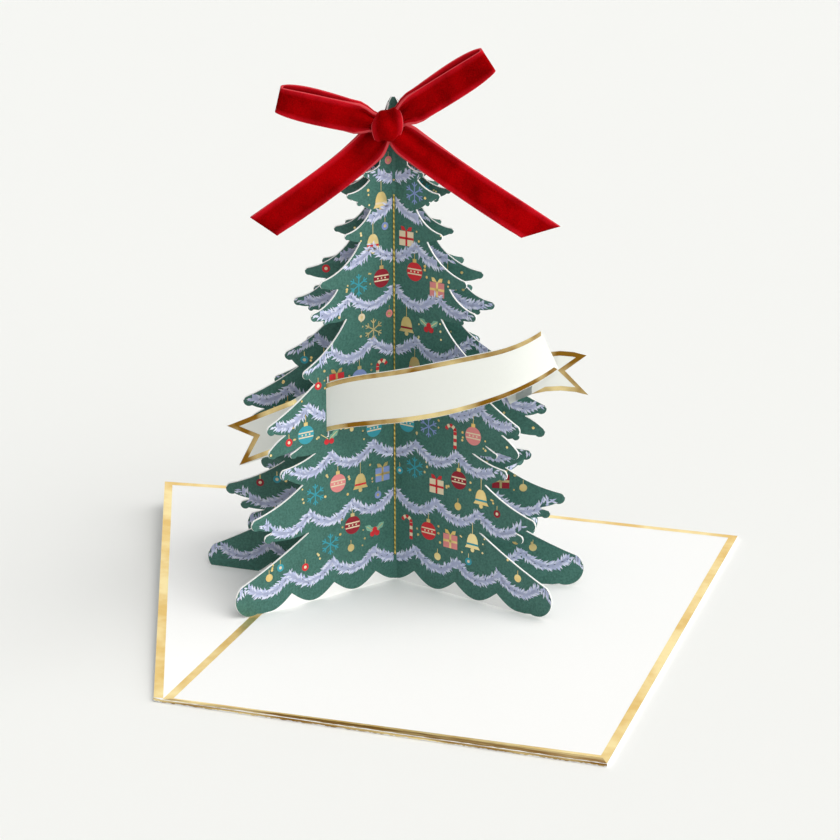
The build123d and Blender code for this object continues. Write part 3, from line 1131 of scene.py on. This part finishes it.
def band_edge(spot, inwards):
    """The true height of the band's edge near a front-view spot, found by two rays."""
    probe = Vector((spot.x, -RAY_START, spot.z + inwards * PROBE * MM))
    hit = band_tree.ray_cast(probe, -TOWARDS_FRONT)[0]
    if hit is None:
        return spot.z
    edge = band_tree.ray_cast(hit - TOWARDS_FRONT * BANNER_CARD / 2 * MM, UP * -inwards)[0]
    return edge.z if edge else spot.z


for side, (inwards, places) in BAND_LINES.items():
    outer, inner = [], []
    for k in range(BAND_STEPS + 1):
        share = places[0][0] + (places[-1][0] - places[0][0]) * k / BAND_STEPS
        spot = front_spot(share, line_height(places, share))
        edge = band_edge(spot, inwards)
        outer.append(Vector((spot.x, 0, edge + inwards * BANNER_MARGIN * MM)))
        inner.append(Vector((spot.x, 0, edge + inwards * (BANNER_MARGIN + BANNER_LINE) * MM)))
    foil_strip("foil_band_" + side, outer, inner, drop_on_band, banner_foil, TOWARDS_FRONT)
print("line width mm:", BANNER_LINE)

# %% Foil lines round the tails
MITRE_LEAST = 0.35
LEFT_TAIL_SHARES = [
    (-0.520, 0.311), (-0.603, 0.290), (-0.815, 0.246), (-0.732, 0.313), (-0.879, 0.327), (-0.504, 0.408),
]
TAILS = {
    "left": (nodes["banner_band"], LEFT_TAIL_SHARES),
    "right": (fork, fork_outline),
}


def inset(route, distance):
    """An open front-view route moved sideways, with mitred corners, to the right of its run."""
    flat = [Vector((p.x, p.z)) for p in route]
    moved = []
    for k, point in enumerate(flat):
        runs = []
        if k > 0:
            runs.append((point - flat[k - 1]).normalized())
        if k < len(flat) - 1:
            runs.append((flat[k + 1] - point).normalized())
        sides = [Vector((run.y, -run.x)) for run in runs]
        mitre = sum(sides, Vector((0, 0))).normalized()
        spot = point + mitre * distance / max(MITRE_LEAST, mitre.dot(sides[0]))
        moved.append(Vector((spot.x, 0, spot.y)))
    return moved


for side, (piece, shares) in TAILS.items():
    route = [front_spot(*pair) for pair in shares]
    outer = inset(route, BANNER_MARGIN * MM)
    inner = inset(route, (BANNER_MARGIN + BANNER_LINE) * MM)
    drop_on_tail = dropper(piece, -TOWARDS_FRONT)
    foil_strip("foil_tail_" + side, outer, inner, drop_on_tail, banner_foil, TOWARDS_FRONT)
print("tails outlined:", list(TAILS))

# %% [markdown]
# The sheets are sewn with a lurex thread: a flat gold strip twisted into a thread. On a thread half a
# millimetre thick the twist reads as slanted bands, so a diagonal wave dents it and paints every other band
# darker, a painted reflection in the turns.

# %% Gold thread
THREAD_GOLD = srgb(255, 224, 110)
# the darker tone is a painted reflection in the turns of the twist
THREAD_REFLECTED_DARK = srgb(160, 122, 40)

thread = Nodes("lurex_thread")
place = thread.add("ShaderNodeTexCoord").outputs["Object"]
twist = thread.add("ShaderNodeTexWave", {"wave_type": "BANDS", "bands_direction": "DIAGONAL"},
                   Vector=place, Scale=330.0, Distortion=2.0).outputs["Fac"]
thread.surface(Base_Color=thread.mix(twist, THREAD_REFLECTED_DARK, THREAD_GOLD), Metallic=0.6, Roughness=0.3)
thread.bump(twist, strength=0.5, distance=0.0001)
dress("spine_thread", thread.material)
print("made", thread.material.name)

# %% [markdown]
# Velvet is a pile of short fibres: deep red where one looks into it, and the code mixes deep and brighter
# red in random brushed patches. Towards the ribbon's edges it is painted lighter still, a painted sheen
# where the pile catches the light, and the edges end in a pale selvedge. The second value of the ribbon's UV
# runs across it, so the shader knows how far a point is from the middle.

# %% Velvet
VELVET_RED = srgb(184, 0, 6)
VELVET_DEEP = srgb(106, 0, 0)
# the next red is a painted sheen towards the ribbon's edges
VELVET_EDGE_SHEEN = srgb(228, 30, 46)
VELVET_EDGE = srgb(216, 74, 80)
EDGE_SHEEN_LEAST = 0.3
EDGE_SHEEN_PATCHY = 0.6
SELVEDGE_FROM = 0.478

velvet = Nodes("red_velvet")
brushed = velvet.stretched(velvet.noise(scale=75, detail=4.0), low=0.36, high=0.66)
fibre = velvet.stretched(velvet.noise(scale=2200), low=0.3, high=0.7)
body = velvet.mix(velvet.blend(brushed, fibre, share=0.4), VELVET_DEEP, VELVET_RED)
ribbon_place = velvet.add("ShaderNodeUVMap", {"uv_map": "ribbon"}).outputs[0]
width_place = velvet.add("ShaderNodeSeparateXYZ", Vector=ribbon_place).outputs[1]
from_middle = velvet.maths("ABSOLUTE", velvet.maths("SUBTRACT", width_place, 0.5))
# painted sheen: lighter towards both edges of the ribbon, more so in the lighter patches
edge_sheen_share = velvet.maths("ADD", EDGE_SHEEN_LEAST, velvet.maths("MULTIPLY", brushed, EDGE_SHEEN_PATCHY))
painted_edge_sheen = velvet.maths("MULTIPLY", velvet.stretched(from_middle, low=0.3, high=0.48), edge_sheen_share)
body = velvet.mix(painted_edge_sheen, body, VELVET_EDGE_SHEEN)
body = velvet.mix(velvet.maths("GREATER_THAN", from_middle, SELVEDGE_FROM), body, VELVET_EDGE)
velvet.surface(Base_Color=body, Roughness=0.9, Specular_IOR_Level=0.02)
velvet.surface(Sheen_Weight=0.08, Sheen_Roughness=0.35, Sheen_Tint=(1.0, 0.12, 0.12, 1))
velvet.bump(fibre, strength=0.6, distance=0.0002)
print("made", velvet.material.name)

# %% [markdown]
# The bow is the soft piece. It is one velvet ribbon: a wrap round the crown, a knot in front, two
# loops and two tails. A simulation would sag the loops that real velvet holds, so the ribbon is laid as
# strips along drawn centre lines. Near the knot a strip narrows and pleats, as gathered ribbon does.

# %% Ribbon strips
RIBBON_WIDTH = 10.2
STRIP_STEPS = 48
STRIP_ROWS = 14


class Ribbon:
    """Collects strips of ribbon as grids with a UV: along the ribbon, then across it."""

    def __init__(self):
        self.points = []
        self.faces = []
        self.uvs = []
        self.length = 0.0

    def strip(self, centre, side, half_width, pleat):
        """centre, half_width and pleat are functions of a share from 0 to 1; side points across."""
        first = len(self.points)
        previous = None
        for i in range(STRIP_STEPS + 1):
            share = i / STRIP_STEPS
            middle = centre(share)
            if previous is not None:
                self.length += (middle - previous).length
            previous = middle
            for j in range(STRIP_ROWS + 1):
                v = 2 * j / STRIP_ROWS - 1
                sideways = side.normalized() * half_width(share) * v
                self.points.append((middle + sideways + pleat(share, v)) * MM)
                self.uvs.append((share, j / STRIP_ROWS))
        row = STRIP_ROWS + 1
        for i in range(STRIP_STEPS):
            for j in range(STRIP_ROWS):
                corner = first + i * row + j
                self.faces.append((corner, corner + 1, corner + row + 1, corner + row))


ribbon = Ribbon()
print("quads in a strip:", STRIP_STEPS * STRIP_ROWS)

# %% Gathers near the knot
KNOT_SHARE = 0.952
KNOT = Vector((-2.0, -8.3, BASE_CARD + KNOT_SHARE * TREE_HEIGHT))
PLEAT_DEPTH = 1.5


def ease(low, high, value):
    share = min(1.0, max(0.0, (value - low) / (high - low)))
    return share * share * (3 - 2 * share)


def in_front(degrees):
    """A direction in the front view: turned up from the right."""
    return Vector((cos(radians(degrees)), 0, sin(radians(degrees))))


def gathered_half(reach, neck):
    """Half the ribbon's width: drawn in to a share at the knot, full a little way out."""
    share, start, end = neck
    return RIBBON_WIDTH / 2 * (share + (1 - share) * ease(start, end, reach))


print("knot at mm:", [round(c, 1) for c in KNOT])

# %% Two loops
LOOP_NECK = (0.52, 3.5, 11.0)
LOOP_ROOT = 2.5
LOOP_SWELL = 0.9
LOOP_MOUTH = 0.35
LOOP_OPENS = 1.25
LOOP_BEND_FROM = 0.86
LOOP_END_SHARE = 0.86
LOOP_TAPER_FROM = 0.4
LOOP_GATHER = (4.0, 17.0)
LOOP_PLEATS = (1.7, 0.4)


def add_loop(degrees, length, gape, sway, peek):
    """Out along the front, round a small bend, and back behind, where the edge peeks out a little."""
    run = in_front(degrees)
    side = in_front(degrees + 90)

    def out_reach(share):
        out = 1 - abs(2 * share - 1)
        return out, LOOP_ROOT + (length - LOOP_ROOT) * sin(out * pi / 2) ** LOOP_SWELL

    def layer(share):
        return -1 if share < 0.5 else 1

    def centre(share):
        out, reach = out_reach(share)
        mouth = LOOP_MOUTH + (1 - LOOP_MOUTH) * sin(min(1.0, out * LOOP_OPENS) * pi / 2)
        bend = sqrt(max(0.0, 1 - ease(LOOP_BEND_FROM, 1.0, out) ** 2))
        drift = sway if share < 0.5 else sway + peek
        depth = Vector((0, layer(share) * (gape * mouth) * bend, 0))
        return KNOT + run * reach + depth + side * drift * sin(out * pi)

    def half_width(share):
        out, reach = out_reach(share)
        return gathered_half(reach, LOOP_NECK) * (1 - (1 - LOOP_END_SHARE) * ease(LOOP_TAPER_FROM, 1.0, out))

    def pleat(share, v):
        gather = 1 - ease(*LOOP_GATHER, out_reach(share)[1])
        wave = cos(v * pi * LOOP_PLEATS[0] + LOOP_PLEATS[1])
        return Vector((0, layer(share) * PLEAT_DEPTH * gather * wave, 0))

    ribbon.strip(centre, side, half_width, pleat)


add_loop(degrees=166.5, length=38.1, gape=1.5, sway=0.5, peek=-1.7)
add_loop(degrees=33.0, length=40.7, gape=1.5, sway=-0.6, peek=1.7)
print("ribbon so far mm:", round(ribbon.length, 1))

# %% Two tails
TAIL_NECK = (0.66, 1.0, 9.0)
TAIL_ROOT = 2.0
TAIL_SPREAD = 1.08
TAIL_GATHER = (0.05, 0.4)
TAIL_PLEATS = (1.5, 0.5)
TAIL_CUT_FROM = 0.8
DRAPE_BIAS = 0.6
RIPPLE = 0.5
RIPPLE_TURN = 7
RIPPLE_GROWS = (0.2, 0.6)


def add_tail(degrees, length, slant, drape, depth):
    """One layer out to a slanted cut end, with a little drape on the way."""
    run = in_front(degrees)
    side = in_front(degrees + 90)
    skew = tan(radians(slant))

    def reach(share):
        return TAIL_ROOT + (length - TAIL_ROOT) * share

    def centre(share):
        lift = side * drape * sin(share**DRAPE_BIAS * pi)
        return KNOT + run * reach(share) + lift + Vector((0, depth * share, 0))

    def half_width(share):
        return TAIL_SPREAD * gathered_half(reach(share), TAIL_NECK)

    def pleat(share, v):
        gather = 1 - ease(*TAIL_GATHER, share)
        wave = cos(v * pi * TAIL_PLEATS[0] + TAIL_PLEATS[1])
        fold = Vector((0, -PLEAT_DEPTH * gather * wave, 0))
        ripple = Vector((0, RIPPLE * sin(share * RIPPLE_TURN + v), 0)) * ease(*RIPPLE_GROWS, share)
        return fold + ripple + run * (skew * v * RIBBON_WIDTH / 2 * ease(TAIL_CUT_FROM, 1.0, share))

    ribbon.strip(centre, side, half_width, pleat)


add_tail(degrees=219.3, length=55.7, slant=-16.0, drape=2.2, depth=-1.0)
add_tail(degrees=-35.0, length=64.8, slant=41.0, drape=-1.0, depth=-1.5)
print("ribbon so far mm:", round(ribbon.length, 1))

# %% Knot and wrap
KNOT_WIDE, KNOT_DEEP, KNOT_HIGH = 5.4, 3.9, 5.0
KNOT_WAIST = 0.14
KNOT_CROWN = 0.9
KNOT_CREASE = 0.5
KNOT_CREASES = (5.2, 2.2, 0.7)
KNOT_FRONT = (-0.6, 0.5)
KNOT_TWIST = 0.5
KNOT_LEAN = Vector((1, 0, 0.12))
WRAP_RADIUS = 5.45
WRAP_HALF = 4.0
WRAP_SHARE = 0.916
WRAP_CREASE = 0.25
WRAP_CREASES = (5, 3)


def knot_way(share):
    """The outward direction of the knot, and its turn, which starts at the back."""
    turn = 2 * pi * share + pi
    return Vector((0, -cos(turn), sin(turn))), turn


def knot_centre(share):
    turn = knot_way(share)[1]
    return KNOT + Vector((0, -KNOT_DEEP * cos(turn), KNOT_HIGH * sin(turn)))


def knot_half(share):
    return KNOT_WIDE * (1 - KNOT_WAIST + KNOT_WAIST * cos(4 * pi * share))


def knot_pleat(share, v):
    outward, turn = knot_way(share)
    crown = -KNOT_CROWN * v**4
    close, slant, start = KNOT_CREASES
    crease = KNOT_CREASE * cos(v * close + slant * sin(turn) + start) * ease(*KNOT_FRONT, cos(turn))
    return outward * (crown + crease) + Vector((0, 0, KNOT_TWIST * v * ease(0.0, 1.0, sin(turn))))


def wrap_centre(share):
    turn = 2 * pi * share
    middle = Vector((0, 0, BASE_CARD + WRAP_SHARE * TREE_HEIGHT + WRAP_HALF))
    return middle + Vector((WRAP_RADIUS * sin(turn), -WRAP_RADIUS * cos(turn), 0))


def wrap_pleat(share, v):
    turn = 2 * pi * share
    outward = Vector((sin(turn), -cos(turn), 0))
    return outward * WRAP_CREASE * sin(v * WRAP_CREASES[0] + WRAP_CREASES[1] * turn)


ribbon.strip(knot_centre, KNOT_LEAN, knot_half, knot_pleat)
ribbon.strip(wrap_centre, UP, lambda share: WRAP_HALF, wrap_pleat)
print("ribbon length mm:", round(ribbon.length, 1))

# %% [markdown]
# All strips become one mesh, because they are one ribbon. It gets its UV and the thickness of its pile,
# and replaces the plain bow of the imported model.

# %% Bow as one piece
RIBBON_PILE = 0.9

bow = make_object("velvet_ribbon_bow", ribbon.points, ribbon.faces, [velvet.material], smooth=True)
uv_layer = bow.data.uv_layers.new(name="ribbon")
for loop in bow.data.loops:
    uv_layer.data[loop.index].uv = ribbon.uvs[loop.vertex_index]
thickened(bow, RIBBON_PILE)
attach(bow, "root")
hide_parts("velvet_bow")
print("bow faces:", len(bow.data.polygons))
